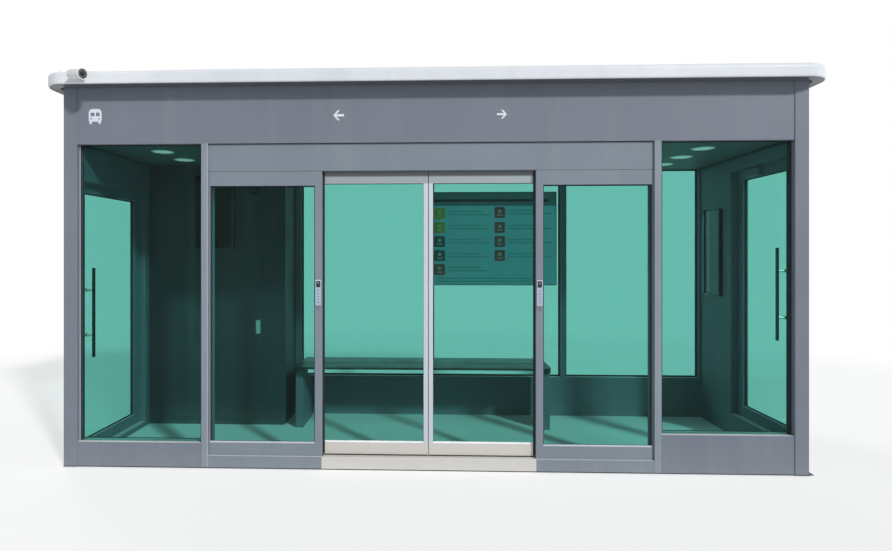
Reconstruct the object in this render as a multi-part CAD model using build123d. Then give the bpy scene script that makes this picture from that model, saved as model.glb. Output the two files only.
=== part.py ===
from build123d import *
import math
import os

# Enclosed bus shelter with a glazed front, a pair of sliding doors and a hinged door in each end.
# Millimetres. X runs along the front, Y goes from the front to the back, Z is up.
# The origin is under the middle of the sliding doors, on the lowest ground that the shelter meets.

# overall frame
length = 5400.0
depth = 1650.0
post_size = 100.0
post_radius = 5.0
post_proud = 6.0
fascia_height = 412.0
fascia_thickness = 34.0
panel_thickness = 60.0
glass_thickness = 10.0
glass_setback = 45.0
front_bead_width = 16.0
rear_bead_width = 6.0
bead_depth = 24.0
cut_over = 1.0

# roof
roof_thickness = 103.0
roof_overhang = 120.0
roof_corner_radius = 180.0
roof_top_round = 34.0
roof_bottom_round = 14.0
soffit_lip = 78.0
soffit_depth = 15.0

# ceiling and its round lights
ceiling_rise = 15.0
ceiling_thickness = 20.0
light_radius = 78.0
light_depth = 14.0
light_rim = 12.0
light_lip = 4.0
light_columns = 4
light_rows = 3
light_end_distance = 560.0

# front bays
mullion_width = 50.0
mullion_depth = 144.0
mullion_radius = 3.0
left_sill_height = 184.0
right_sill_height = 279.0

# door cover, the beam behind it and the rail that the sliding doors hang on
cover_height = 201.0
cover_gap = 4.0
cover_thickness = 5.0
cover_return = 16.0
cover_leaf_gap = 6.0
cover_round = 3.0
door_setback = 16.0
beam_depth = 45.0
rail_rise = 116.0
rail_height = 16.0
rail_width = 17.0
rail_bead = 4.0

# fixed lights beside the sliding doors
sidelight_depth = 30.0
sidelight_edge_round = 3.0
sidelight_outer_stile = 10.0
sidelight_inner_stile = 52.0
sidelight_inner_edge = 779.0
sidelight_width = 841.0
sidelight_head = 105.0
sidelight_glass_setback = 17.0
base_height = 92.0

# sliding doors
leaf_thickness = 40.0
leaf_front_gap = 8.0
leaf_overlap = 41.0
leaf_top_rise = 30.0
leaf_top_rail = 117.0
leaf_bottom_rail = 83.0
leaf_meeting_stile = 32.0
leaf_outer_stile = 34.0
leaf_centre_gap = 5.0
leaf_edge_round = 3.0
hanger_thickness = 6.0
hanger_width = 120.0
hanger_inset = 90.0
hanger_top_margin = 8.0
roller_radius = 25.0
roller_end_gap = 2.0
hub_radius = 9.0
running_gap = 0.3
guide_thickness = 6.0
guide_drop = 15.0
guide_clearance = 5.0

# stainless threshold of the sliding doors
threshold_depth = 114.0
threshold_gap = 8.0
threshold_bevel = 3.0

# rear wall
rear_sill_height = 376.0
rear_bays = 4
rear_mullion_width = 54.0
service_panel_inset = 20.0
board_left_margin = 3.0
board_right_margin = 33.0
board_bottom = 1268.0
board_height = 919.0
board_thickness = 12.0

# end walls
jamb_width = 150.0
left_opening = 960.0
right_opening = 820.0
end_leaf_height = 2070.0
left_leaf_bottom = 50.0
right_leaf_bottom = 205.0
right_head = 104.0
end_gap = 6.0
end_leaf_thickness = 40.0
end_leaf_setback = 10.0
end_bottom_rail = 85.0
end_top_rail = 75.0
end_front_stile = 22.0
end_rear_stile = 100.0
window_bottom = 1200.0
window_height = 795.0
window_width = 230.0
window_rear_margin = 20.0

# closers on the inner faces of the end doors
closer_length = 270.0
closer_height = 68.0
closer_depth = 38.0
closer_rear_margin = 118.0
closer_round = 8.0

# hinges of the end doors
hinge_count = 3
hinge_radius = 8.0
hinge_length = 100.0
hinge_plate = 3.0
hinge_plate_width = 30.0
pin_radius = 4.0
pin_clearance = 0.1
hinge_end_distance = 180.0

# pull bars of the end doors
handle_setback = 150.0
handle_bottom = 720.0
handle_length = 695.0
handle_width = 30.0
handle_thickness = 14.0
handle_standoff = 42.0
handle_stud_radius = 9.0
handle_stud_inset = 172.0

# display on the right end wall
display_width = 198.0
display_height = 780.0
display_thickness = 45.0
display_margin = 14.0
display_round = 6.0

# cabinet in the rear left corner, with a screen and a round camera on its face
cabinet_depth = 420.0
cabinet_plinth = 60.0
cabinet_plinth_setback = 12.0
screen_width = 358.0
screen_height = 690.0
screen_thickness = 48.0
screen_top_gap = 90.0
screen_right_margin = 473.0
screen_round = 5.0
dome_right_margin = 290.0
dome_drop = 235.0
dome_radius = 40.0
dome_base_radius = 52.0
dome_base_thickness = 18.0
dome_bands = 6

# bench
bench_length = 2320.0
bench_middle = -70.0
bench_depth = 560.0
bench_height = 557.0
bench_thickness = 45.0
bench_corner_radius = 110.0
bench_edge_round = 10.0
bench_leg_width = 70.0
bench_leg_end_inset = 12.0
bench_leg_front_inset = 70.0
bench_leg_rear_inset = 110.0
bench_leg_round = 8.0

# touch plates beside the sliding doors
plate_width = 42.0
plate_height = 188.0
plate_thickness = 8.0
plate_round = 6.0
plate_middle = 1290.0

# security camera at the left end of the roof edge
camera_inset = 337.0
camera_rise = 7.5
camera_radius = 38.0
camera_length = 128.0
camera_edge_bevel = 9.0
camera_face_depth = 4.0
camera_face_rim = 5.0
camera_hood_radius = 41.0
camera_hood_length = 84.0
camera_hood_reach = 4.0
camera_arm_radius = 11.0
camera_foot_radius = 26.0
camera_foot_thickness = 10.0
camera_reach = 75.0
camera_turn = -24.0
camera_tilt = 7.0

front = -post_proud - threshold_depth / 2
rear = front + depth
half = length / 2
face_front = front + post_proud
face_rear = rear - post_proud
face_side = half - post_proud
door_face = face_front + door_setback
inner_half = half - post_size
rear_inner = rear - post_size
mullion_inner = sidelight_inner_edge + sidelight_width
mullion_outer = mullion_inner + mullion_width
fascia_bottom = right_leaf_bottom + end_leaf_height + end_gap + right_head
wall_top = fascia_bottom + fascia_height
roof_top = wall_top + roof_thickness
ceiling_height = fascia_bottom + ceiling_rise
transom_bottom = fascia_bottom - cover_gap - cover_height
rail_top = transom_bottom + rail_rise
beam_front = face_front + mullion_depth - beam_depth
leaf_front = door_face + sidelight_depth + leaf_front_gap
leaf_rear = leaf_front + leaf_thickness
leaf_middle = (leaf_front + leaf_rear) / 2
leaf_top = transom_bottom + leaf_top_rise
leaf_bottom = base_height + threshold_gap
leaf_inner = leaf_centre_gap / 2
leaf_outer = sidelight_inner_edge + leaf_overlap
rear_bay = (length - 2 * post_size) / rear_bays
rear_glass_front = rear - glass_setback - glass_thickness
end_front = front + post_size
leaf_outer_face = half - end_leaf_setback
leaf_inner_face = leaf_outer_face - end_leaf_thickness
panel_outer = half - (post_size - panel_thickness) / 2
panel_inner = panel_outer - panel_thickness
cabinet_right = -inner_half + rear_bay - rear_mullion_width / 2
cabinet_front = rear_inner - cabinet_depth
bench_front = rear_inner - bench_depth


def block(x, y, z):
    size = Box(x[1] - x[0], y[1] - y[0], z[1] - z[0])
    return Pos((x[0] + x[1]) / 2, (y[0] + y[1]) / 2, (z[0] + z[1]) / 2) * size


def mirrored(x, side):
    return (x[0], x[1]) if side > 0 else (-x[1], -x[0])


def upright(x, y, z, radius):
    outline = RectangleRounded(x[1] - x[0], y[1] - y[0], radius)
    place = Pos((x[0] + x[1]) / 2, (y[0] + y[1]) / 2, z[0])
    return place * extrude(outline, z[1] - z[0])


def along_x(points, x):
    # a section drawn in Y and Z, carried along X
    section = make_face(Polyline(*points, close=True))
    return Pos(x[0], 0, 0) * extrude(Plane.YZ * section, x[1] - x[0])


def frame_in_xz(x, z, left, right, bottom, top, y, edge_round=0.0):
    # a flat frame in the plane of the front wall: an outer rectangle less its light
    solid = block(x, y, z)
    if edge_round > 0:
        solid = fillet(solid.edges().filter_by(Axis.Z), edge_round)
    light_y = (y[0] - cut_over, y[1] + cut_over)
    return solid - block((x[0] + left, x[1] - right), light_y, (z[0] + bottom, z[1] - top))


def save(name, shape):
    shape.label = name
    export_step(shape, f"parts/{name}.step")


def make_posts():
    places = {
        "front_post_left": (-half, front),
        "front_post_right": (inner_half, front),
        "rear_post_left": (-half, rear_inner),
        "rear_post_right": (inner_half, rear_inner),
    }
    for name, (x, y) in places.items():
        save(name, upright((x, x + post_size), (y, y + post_size), (0, wall_top), post_radius))


def make_roof():
    outline = RectangleRounded(
        length + 2 * roof_overhang, depth + 2 * roof_overhang, roof_corner_radius
    )
    roof = Pos(0, (front + rear) / 2, wall_top) * extrude(outline, roof_thickness)
    roof = fillet(roof.edges().group_by(Axis.Z)[-1], roof_top_round)
    roof = fillet(roof.edges().group_by(Axis.Z)[0], roof_bottom_round)
    groove = RectangleRounded(
        length + 2 * (roof_overhang - soffit_lip),
        depth + 2 * (roof_overhang - soffit_lip),
        roof_corner_radius - soffit_lip,
    )
    groove = groove - Rectangle(length, depth)
    groove = Pos(0, (front + rear) / 2, wall_top) * extrude(groove, soffit_depth)
    save("roof", roof - groove)


def light_places():
    step_x = 2 * (inner_half - light_end_distance + post_size) / (light_columns - 1)
    step_y = depth / (light_rows + 1)
    first_x = -(light_columns - 1) * step_x / 2
    places = []
    for column in range(light_columns):
        for row in range(light_rows):
            x = first_x + column * step_x
            y = front + (row + 1) * step_y
            over_cabinet = x < cabinet_right and y + light_radius + light_rim > cabinet_front
            if not over_cabinet:
                places.append((x, y))
    return places


def make_ceiling():
    panel = block(
        (-inner_half, inner_half),
        (face_front + fascia_thickness, face_rear - fascia_thickness),
        (ceiling_height, ceiling_height + ceiling_thickness),
    )
    lights = []
    for x, y in light_places():
        hole = Pos(x, y, ceiling_height) * Cylinder(light_radius, 2 * light_depth)
        panel -= hole
        ring = Cylinder(light_radius + light_rim, light_lip)
        ring = Pos(x, y, ceiling_height - light_lip / 2) * ring
        body = Cylinder(light_radius - running_gap, light_depth)
        body = Pos(x, y, ceiling_height + light_depth / 2) * body
        lights.append(ring + body)
    save("ceiling", panel)
    save("downlights", Compound(children=lights))


def make_fascias():
    z = (fascia_bottom, wall_top)
    across = (-inner_half, inner_half)
    save("front_fascia", block(across, (face_front, face_front + fascia_thickness), z))
    rear_y = (face_rear - fascia_thickness, face_rear)
    save("rear_fascia", block(across, rear_y, (ceiling_height, wall_top)))
    ends = []
    for side in (-1, 1):
        x = mirrored((face_side - fascia_thickness, face_side), side)
        ends.append(block(x, (end_front, rear_inner), z))
    save("end_fascias", Compound(children=ends))


def make_front_bays():
    mullions = []
    sills = []
    panes = []
    beads = []
    for side, sill in ((-1, left_sill_height), (1, right_sill_height)):
        x = mirrored((mullion_inner, mullion_outer), side)
        y = (face_front, face_front + mullion_depth)
        mullions.append(upright(x, y, (0, fascia_bottom), mullion_radius))
        x = mirrored((mullion_outer, inner_half), side)
        sills.append(block(x, (face_front, front + post_size), (0, sill)))
        y = (front + glass_setback, front + glass_setback + glass_thickness)
        z = (sill, ceiling_height)
        panes.append(block(x, y, z))
        # the pane stands on the sill, so the bead is left open at its foot
        width = front_bead_width
        beads.append(frame_in_xz(x, z, width, width, -cut_over, width, (y[1], y[1] + bead_depth)))
    save("front_mullions", Compound(children=mullions))
    save("bay_sills", Compound(children=sills))
    save("bay_glass", Compound(children=panes))
    return beads


def make_transom():
    # the cover is a folded sheet: a tall face, a lip under it and a short return on top
    x = (-mullion_inner, mullion_inner)
    cover_top = transom_bottom + cover_height
    face_back = door_face + cover_thickness
    lip_back = leaf_front - cover_leaf_gap
    return_back = door_face + cover_return
    lip_top = transom_bottom + cover_thickness
    cover = along_x(
        [
            (door_face, transom_bottom),
            (lip_back, transom_bottom),
            (lip_back, lip_top),
            (face_back, lip_top),
            (face_back, cover_top - cover_thickness),
            (return_back, cover_top - cover_thickness),
            (return_back, cover_top),
            (door_face, cover_top),
        ],
        x,
    )
    front_edges = cover.edges().filter_by(Axis.X).group_by(Axis.Y)[0]
    save("door_cover", fillet(front_edges, cover_round))
    # the beam behind it carries a ledge with a round bead on top, where the rollers run
    beam = along_x(
        [
            (beam_front, transom_bottom),
            (beam_front + beam_depth, transom_bottom),
            (beam_front + beam_depth, ceiling_height),
            (beam_front, ceiling_height),
            (beam_front, rail_top - rail_bead),
            (beam_front - rail_width, rail_top - rail_bead),
            (beam_front - rail_width, rail_top - rail_height),
            (beam_front, rail_top - rail_height),
        ],
        x,
    )
    bead = Cylinder(rail_bead, x[1] - x[0], rotation=(0, 90, 0))
    bead = Pos(0, beam_front - rail_width / 2, rail_top - rail_bead) * bead
    save("door_rail", beam + bead)


def make_sidelights():
    panes = []
    for side, name in ((-1, "left_sidelight_frame"), (1, "right_sidelight_frame")):
        x = mirrored((sidelight_inner_edge, mullion_inner), side)
        z = (base_height, transom_bottom)
        stiles = (sidelight_inner_stile, sidelight_outer_stile)
        left, right = stiles if side > 0 else (stiles[1], stiles[0])
        y = (door_face, door_face + sidelight_depth)
        bottom = left_sill_height - base_height
        frame = frame_in_xz(x, z, left, right, bottom, sidelight_head, y, sidelight_edge_round)
        base = block(x, (face_front, y[1]), (0, base_height))
        save(name, frame + base)
        glass_front = door_face + sidelight_glass_setback
        glass_y = (glass_front, glass_front + glass_thickness)
        glass_z = (left_sill_height, transom_bottom - sidelight_head)
        panes.append(block((x[0] + left, x[1] - right), glass_y, glass_z))
    save("sidelight_glass", Compound(children=panes))


def make_sliding_doors():
    y = (leaf_front, leaf_rear)
    rail_middle = beam_front - rail_width / 2
    roller_z = rail_top + roller_radius - rail_bead + running_gap
    plate_y = (leaf_middle - hanger_thickness / 2, leaf_middle + hanger_thickness / 2)
    for side, name in ((-1, "sliding_door_left"), (1, "sliding_door_right")):
        x = mirrored((leaf_inner, leaf_outer), side)
        stiles = (leaf_meeting_stile, leaf_outer_stile)
        left, right = stiles if side > 0 else (stiles[1], stiles[0])
        z = (leaf_bottom, leaf_top)
        rails = (leaf_bottom_rail, leaf_top_rail)
        leaf = frame_in_xz(x, z, left, right, *rails, y, edge_round=leaf_edge_round)
        guide_y = (leaf_middle - guide_thickness / 2, leaf_middle + guide_thickness / 2)
        leaf += block(x, guide_y, (leaf_bottom - guide_drop, leaf_bottom))
        for inset in (leaf_inner + hanger_inset, leaf_outer - hanger_inset - hanger_width):
            plate_x = mirrored((inset, inset + hanger_width), side)
            plate = block(plate_x, plate_y, (leaf_top, roller_z + roller_radius + hanger_top_margin))
            middle = (plate_x[0] + plate_x[1]) / 2
            roller = make_roller(rail_middle - plate_y[1])
            leaf = leaf + plate + Pos(middle, rail_middle, roller_z) * Rot(-90, 0, 0) * roller
        save(name, leaf)
        glass_y = (leaf_middle - glass_thickness / 2, leaf_middle + glass_thickness / 2)
        glass_z = (leaf_bottom + leaf_bottom_rail, leaf_top - leaf_top_rail)
        save(name + "_glass", block((x[0] + left, x[1] - right), glass_y, glass_z))


def make_roller(hub_length):
    # a grooved wheel that runs on the bead of the rail, with the hub that carries it
    half_width = rail_width / 2 - roller_end_gap
    profile = Rectangle(roller_radius, 2 * half_width, align=(Align.MIN, Align.CENTER))
    profile += Rectangle(hub_radius, hub_length, align=(Align.MIN, Align.MAX))
    profile -= Pos(roller_radius, 0) * Rectangle(2 * rail_bead, 2 * (rail_bead + running_gap))
    return revolve(Plane.XZ * profile, Axis.Z)


def make_threshold():
    # a plate with a sloped nose and a groove that guides the leaves
    top = base_height
    groove_half = guide_thickness / 2 + guide_clearance
    groove_bottom = leaf_bottom - guide_drop - guide_clearance
    plate = along_x(
        [
            (face_front, 0),
            (face_front + threshold_depth, 0),
            (face_front + threshold_depth, top),
            (leaf_middle + groove_half, top),
            (leaf_middle + groove_half, groove_bottom),
            (leaf_middle - groove_half, groove_bottom),
            (leaf_middle - groove_half, top),
            (face_front + threshold_bevel, top),
            (face_front, top - threshold_bevel),
        ],
        (-sidelight_inner_edge, sidelight_inner_edge),
    )
    save("threshold", plate)


def make_rear_wall():
    save("rear_sill", block((-inner_half, inner_half), (rear_inner, face_rear), (0, rear_sill_height)))
    z = (rear_sill_height, ceiling_height)
    mullions = []
    for bay in range(1, rear_bays):
        x = -inner_half + bay * rear_bay
        sides = (x - rear_mullion_width / 2, x + rear_mullion_width / 2)
        mullions.append(block(sides, (rear_inner, face_rear), z))
    save("rear_mullions", Compound(children=mullions))
    panes = []
    beads = []
    for bay in range(rear_bays):
        x0 = -inner_half + bay * rear_bay
        x1 = x0 + rear_bay
        x0 += rear_mullion_width / 2 if bay > 0 else 0
        x1 -= rear_mullion_width / 2 if bay < rear_bays - 1 else 0
        y = (rear_glass_front, rear_glass_front + glass_thickness)
        if bay == 0:
            save("rear_service_panel", block((x0, x1), (y[0], rear - service_panel_inset), z))
        else:
            panes.append(block((x0, x1), y, z))
            width = rear_bead_width
            bead_y = (y[1], y[1] + bead_depth)
            beads.append(frame_in_xz((x0, x1), z, width, width, width, width, bead_y))
    save("rear_glass", Compound(children=panes))
    board_x = (
        rear_mullion_width / 2 + board_left_margin,
        rear_bay - rear_mullion_width / 2 - board_right_margin,
    )
    board_z = (board_bottom, board_bottom + board_height)
    board_y = (rear_glass_front - board_thickness, rear_glass_front)
    save("timetable_board", block(board_x, board_y, board_z))
    return beads


def hinge_middles(bottom):
    low = bottom + hinge_end_distance
    high = bottom + end_leaf_height - hinge_end_distance
    return [low + (high - low) * n / (hinge_count - 1) for n in range(hinge_count)]


def hinge_parts(side, middle, end_rear):
    # three barrels on one pin: the outer two belong to the jamb, the middle one to the leaf
    axis_x = side * (leaf_outer_face + hinge_radius)
    axis_y = end_rear - end_gap / 2
    barrel = hinge_length / 3
    fixed = []
    for way in (-1, 1):
        z = middle + way * (barrel + running_gap)
        fixed.append(Pos(axis_x, axis_y, z) * Cylinder(hinge_radius, barrel))
    pin = Pos(axis_x, axis_y, middle) * Cylinder(pin_radius, hinge_length)
    plate_x = mirrored((leaf_outer_face, leaf_outer_face + hinge_plate), side)
    for way in (-1, 1):
        z = middle + way * (barrel + running_gap)
        ends = (z - barrel / 2, z + barrel / 2)
        fixed.append(block(plate_x, (end_rear, end_rear + hinge_plate_width), ends))
        web_x = mirrored((leaf_outer_face, leaf_outer_face + hinge_radius), side)
        fixed.append(block(web_x, (axis_y + pin_radius, end_rear + hinge_plate), ends))
    jamb_side = fixed[0] + fixed[1] + pin
    for piece in fixed[2:]:
        jamb_side = jamb_side + piece
    knuckle = Pos(axis_x, axis_y, middle) * Cylinder(hinge_radius, barrel)
    ends = (middle - barrel / 2, middle + barrel / 2)
    leaf_rear_edge = end_rear - end_gap
    plate = block(plate_x, (leaf_rear_edge - hinge_plate_width, leaf_rear_edge), ends)
    web_x = mirrored((leaf_outer_face, leaf_outer_face + hinge_radius), side)
    web = block(web_x, (leaf_rear_edge - hinge_plate, axis_y - pin_radius), ends)
    bore = Pos(axis_x, axis_y, middle) * Cylinder(pin_radius + pin_clearance, barrel + 2 * cut_over)
    leaf_side = knuckle + plate + web - bore
    return jamb_side, leaf_side


def frame_in_yz(y, z, front_stile, rear_stile, bottom, top, x):
    solid = block(x, y, z)
    light_x = (x[0] - cut_over, x[1] + cut_over)
    light_y = (y[0] + front_stile, y[1] - rear_stile)
    return solid - block(light_x, light_y, (z[0] + bottom, z[1] - top))


def make_end_door(side, word, bottom, opening):
    end_rear = end_front + opening
    leaf_x = mirrored((leaf_inner_face, leaf_outer_face), side)
    leaf_y = (end_front + end_gap, end_rear - end_gap)
    leaf_z = (bottom, bottom + end_leaf_height)
    leaf = frame_in_yz(
        leaf_y, leaf_z, end_front_stile, end_rear_stile, end_bottom_rail, end_top_rail, leaf_x
    )
    frame_x = mirrored((inner_half, leaf_outer_face), side)
    jamb = block(frame_x, (end_rear, end_rear + jamb_width), (0, fascia_bottom))
    head = block(frame_x, (end_front, end_rear), (leaf_z[1] + end_gap, fascia_bottom))
    step = block(frame_x, (end_front, end_rear), (0, bottom - end_gap))
    surround = jamb + head + step
    leaf += make_closer(side, leaf_y[1], leaf_z[1])
    for middle in hinge_middles(bottom):
        jamb_side, leaf_side = hinge_parts(side, middle, end_rear)
        surround = surround + jamb_side
        leaf = leaf + leaf_side
    save(f"end_door_frame_{word}", surround)
    save(f"end_door_{word}", leaf)
    middle_x = (leaf_inner_face + leaf_outer_face) / 2
    glass_x = mirrored((middle_x - glass_thickness / 2, middle_x + glass_thickness / 2), side)
    glass_y = (leaf_y[0] + end_front_stile, leaf_y[1] - end_rear_stile)
    glass_z = (leaf_z[0] + end_bottom_rail, leaf_z[1] - end_top_rail)
    save(f"end_door_{word}_glass", block(glass_x, glass_y, glass_z))
    make_handles(side, word, bottom, glass_x)


def make_closer(side, leaf_rear_edge, leaf_head):
    # the housing of the door closer, on the inner face of the top rail at the hinge side
    x = mirrored((leaf_inner_face - closer_depth, leaf_inner_face), side)
    rear_end = leaf_rear_edge - closer_rear_margin
    middle = leaf_head - end_top_rail / 2
    z = (middle - closer_height / 2, middle + closer_height / 2)
    housing = block(x, (rear_end - closer_length, rear_end), z)
    inner_edges = housing.edges().filter_by(Axis.Y).sort_by(Axis.X)
    inner_edges = inner_edges[:2] if side > 0 else inner_edges[-2:]
    return fillet(inner_edges, closer_round)


def make_handles(side, word, bottom, glass_x):
    bars = []
    bar_y = (
        end_front + handle_setback - handle_width / 2,
        end_front + handle_setback + handle_width / 2,
    )
    bar_z = (bottom + handle_bottom, bottom + handle_bottom + handle_length)
    for way, face in ((-1, glass_x[0]), (1, glass_x[1])):
        bar_x = sorted((face + way * handle_standoff, face + way * (handle_standoff + handle_thickness)))
        bar = upright(bar_x, bar_y, bar_z, handle_thickness / 3)
        for z in (bar_z[0] + handle_stud_inset, bar_z[1] - handle_stud_inset):
            stud = Cylinder(handle_stud_radius, handle_standoff, rotation=(0, 90, 0))
            bar += Pos(face + way * handle_standoff / 2, (bar_y[0] + bar_y[1]) / 2, z) * stud
        bars.append(bar)
    save(f"end_door_{word}_handles", Compound(children=bars))


def make_end_panels():
    z = (0, fascia_bottom)
    y = (end_front + left_opening + jamb_width, rear_inner)
    save("left_end_panel", block(mirrored((panel_inner, panel_outer), -1), y, z))
    y = (end_front + right_opening + jamb_width, rear_inner)
    right = block((panel_inner, panel_outer), y, z)
    window_y = (y[1] - window_rear_margin - window_width, y[1] - window_rear_margin)
    window_z = (window_bottom, window_bottom + window_height)
    right -= block((panel_inner - cut_over, panel_outer + cut_over), window_y, window_z)
    save("right_end_panel", right)
    middle = (panel_inner + panel_outer) / 2
    glass_x = (middle - glass_thickness / 2, middle + glass_thickness / 2)
    save("end_window_glass", block(glass_x, window_y, window_z))
    display_y = (y[0] + display_margin, y[0] + display_margin + display_width)
    display_z = (window_bottom, window_bottom + display_height)
    display = block((panel_inner - display_thickness, panel_inner), display_y, display_z)
    display = fillet(display.edges().filter_by(Axis.Z).sort_by(Axis.X)[:2], display_round)
    save("wall_display", display)


def make_cabinet():
    y = (cabinet_front, rear_inner)
    body = block((-inner_half, cabinet_right), y, (cabinet_plinth, ceiling_height))
    plinth = block(
        (-inner_half, cabinet_right - cabinet_plinth_setback),
        (y[0] + cabinet_plinth_setback, y[1]),
        (0, cabinet_plinth),
    )
    save("cabinet", body + plinth)
    screen_right = cabinet_right - screen_right_margin
    screen_top = ceiling_height - screen_top_gap
    screen = block(
        (screen_right - screen_width, screen_right),
        (cabinet_front - screen_thickness, cabinet_front),
        (screen_top - screen_height, screen_top),
    )
    screen = fillet(screen.edges().filter_by(Axis.Y), screen_round)
    save("cabinet_screen", screen)
    place = Pos(cabinet_right - dome_right_margin, cabinet_front, ceiling_height - dome_drop)
    save("dome_camera", place * Rot(90, 0, 0) * make_dome())


def make_dome():
    # a flat ring with a dome on it, turned from an outline of a few straight bands
    outline = [(0, 0), (dome_base_radius, 0), (dome_base_radius, dome_base_thickness)]
    for band in range(dome_bands):
        angle = math.pi / 2 * band / dome_bands
        height = dome_base_thickness + dome_radius * math.sin(angle)
        outline.append((dome_radius * math.cos(angle), height))
    outline.append((0, dome_base_thickness + dome_radius))
    return revolve(Plane.XZ * make_face(Polyline(*outline, close=True)), Axis.Z)


def make_bench():
    y = (bench_front, rear_inner)
    x = (bench_middle - bench_length / 2, bench_middle + bench_length / 2)
    seat = upright(x, y, (bench_height - bench_thickness, bench_height), bench_corner_radius)
    seat = fillet(seat.edges().group_by(Axis.Z)[-1], bench_edge_round)
    save("bench_seat", seat)
    legs = []
    leg_y = (y[0] + bench_leg_front_inset, y[1] - bench_leg_rear_inset)
    leg_z = (0, bench_height - bench_thickness)
    for inner_side in (x[0] + bench_leg_end_inset, x[1] - bench_leg_end_inset - bench_leg_width):
        sides = (inner_side, inner_side + bench_leg_width)
        legs.append(upright(sides, leg_y, leg_z, bench_leg_round))
    save("bench_legs", Compound(children=legs))


def make_touch_plates():
    plates = []
    for side in (-1, 1):
        middle = side * (sidelight_inner_edge + sidelight_inner_stile / 2)
        plate = RectangleRounded(plate_width, plate_height, plate_round)
        plate = Plane.XZ * extrude(plate, plate_thickness)
        plates.append(Pos(middle, door_face, plate_middle) * plate)
    save("touch_plates", Compound(children=plates))


def make_camera():
    edge = front - roof_overhang
    x = -half - roof_overhang + camera_inset
    foot_z = (wall_top + roof_bottom_round + roof_top - roof_top_round) / 2
    height = foot_z + camera_rise
    aim = Pos(x, edge - camera_reach, height) * Rot(0, 0, camera_turn) * Rot(0, 90 + camera_tilt, 0)
    barrel = Cylinder(camera_radius, camera_length)
    barrel = chamfer(barrel.edges().group_by(Axis.Z)[0], camera_edge_bevel)
    hood_middle = (camera_length - camera_hood_length) / 2 + camera_hood_reach
    barrel += Pos(0, 0, hood_middle) * Cylinder(camera_hood_radius, camera_hood_length)
    face_end = camera_length / 2 + camera_hood_reach
    face = Cylinder(camera_radius - camera_face_rim, 2 * camera_face_depth)
    barrel -= Pos(0, 0, face_end) * face
    foot = Cylinder(camera_foot_radius, camera_foot_thickness, rotation=(90, 0, 0))
    foot = Pos(x, edge - camera_foot_thickness / 2, foot_z) * foot
    arm = Cylinder(camera_arm_radius, camera_reach, rotation=(90, 0, 0))
    arm = Pos(x, edge - camera_reach / 2, foot_z) * arm
    save("security_camera", aim * barrel + foot + arm)


os.makedirs("parts", exist_ok=True)
make_posts()
make_roof()
make_ceiling()
make_fascias()
front_beads = make_front_bays()
make_transom()
make_sidelights()
make_sliding_doors()
make_threshold()
rear_beads = make_rear_wall()
save("glazing_beads", Compound(children=front_beads + rear_beads))
make_end_door(-1, "left", left_leaf_bottom, left_opening)
make_end_door(1, "right", right_leaf_bottom, right_opening)
make_end_panels()
make_cabinet()
make_bench()
make_touch_plates()
make_camera()
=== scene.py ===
import math

import bmesh
import bpy
import numpy as np
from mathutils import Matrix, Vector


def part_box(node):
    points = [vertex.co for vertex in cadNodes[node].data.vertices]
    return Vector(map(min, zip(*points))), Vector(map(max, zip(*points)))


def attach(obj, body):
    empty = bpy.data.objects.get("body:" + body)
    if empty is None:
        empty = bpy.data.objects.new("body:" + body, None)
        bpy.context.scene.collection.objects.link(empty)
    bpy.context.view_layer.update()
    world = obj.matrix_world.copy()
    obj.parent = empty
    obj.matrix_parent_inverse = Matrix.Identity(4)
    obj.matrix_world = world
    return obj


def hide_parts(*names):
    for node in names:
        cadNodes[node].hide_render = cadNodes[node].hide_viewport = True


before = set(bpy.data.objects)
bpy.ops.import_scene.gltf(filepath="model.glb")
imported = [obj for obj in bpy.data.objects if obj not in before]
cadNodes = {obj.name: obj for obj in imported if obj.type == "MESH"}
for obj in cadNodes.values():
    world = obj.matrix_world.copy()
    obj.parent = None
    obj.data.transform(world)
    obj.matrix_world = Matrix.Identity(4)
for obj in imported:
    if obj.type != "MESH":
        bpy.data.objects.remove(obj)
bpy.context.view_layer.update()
print("frame loaded:", len(cadNodes), "nodes")

# Numbers are in metres. The front of the shelter faces -Y and the ground is z = 0.
sunk = 0.0003  # how far a thin piece reaches into what carries it
smallest = 0.00001  # the least radius of a rounded or turned shape
bevelShares = (0.9, 0.45)  # the most that a bevel takes of a radius and of a thickness
sharpAngle = 35  # degrees: a flatter edge is shaded smooth
words = ("left", "right")


class Look(dict):
    # a dictionary of settings that are read as attributes
    __getattr__ = dict.__getitem__


def boxOf(name):
    # the lowest and the highest corner of a node
    low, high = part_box(name)
    return np.array(low), np.array(high)


def solidsOf(name):
    # the box round each separate solid of a node, from left to right: points that an edge joins take
    # the lowest label among them until nothing changes, and points within 0.01 mm are one
    mesh = cadNodes[name].data
    points = np.array([vertex.co for vertex in mesh.vertices])
    label = np.unique(np.round(points, 5), axis=0, return_inverse=True)[1].reshape(-1)
    ends = label[np.array([edge.vertices for edge in mesh.edges])]
    root, before = np.arange(label.max() + 1), None
    while not np.array_equal(root, before):
        before = root.copy()
        least = root[ends].min(1)
        np.minimum.at(root, ends[:, 0], least)
        np.minimum.at(root, ends[:, 1], least)
    group = root[label]
    boxes = [(points[group == one].min(0), points[group == one].max(0)) for one in np.unique(group)]
    return sorted(boxes, key=lambda box: tuple(box[0]))


# Shapes. A shape is its points and a list of face arrays, one array for each number of corners.
def gridFaces(rows, columns, closedRows=False, closedColumns=False):
    # quads between neighbours of a grid of points, joined round where a direction is closed
    r = np.arange(rows if closedRows else rows - 1).reshape(-1, 1)
    c = np.arange(columns if closedColumns else columns - 1).reshape(1, -1)
    nextR, nextC = (r + 1) % rows, (c + 1) % columns
    corners = [r * columns + c, r * columns + nextC, nextR * columns + nextC, nextR * columns + c]
    return np.stack([np.broadcast_to(x, (r.size, c.size)) for x in corners], -1).reshape(-1, 4)


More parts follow.
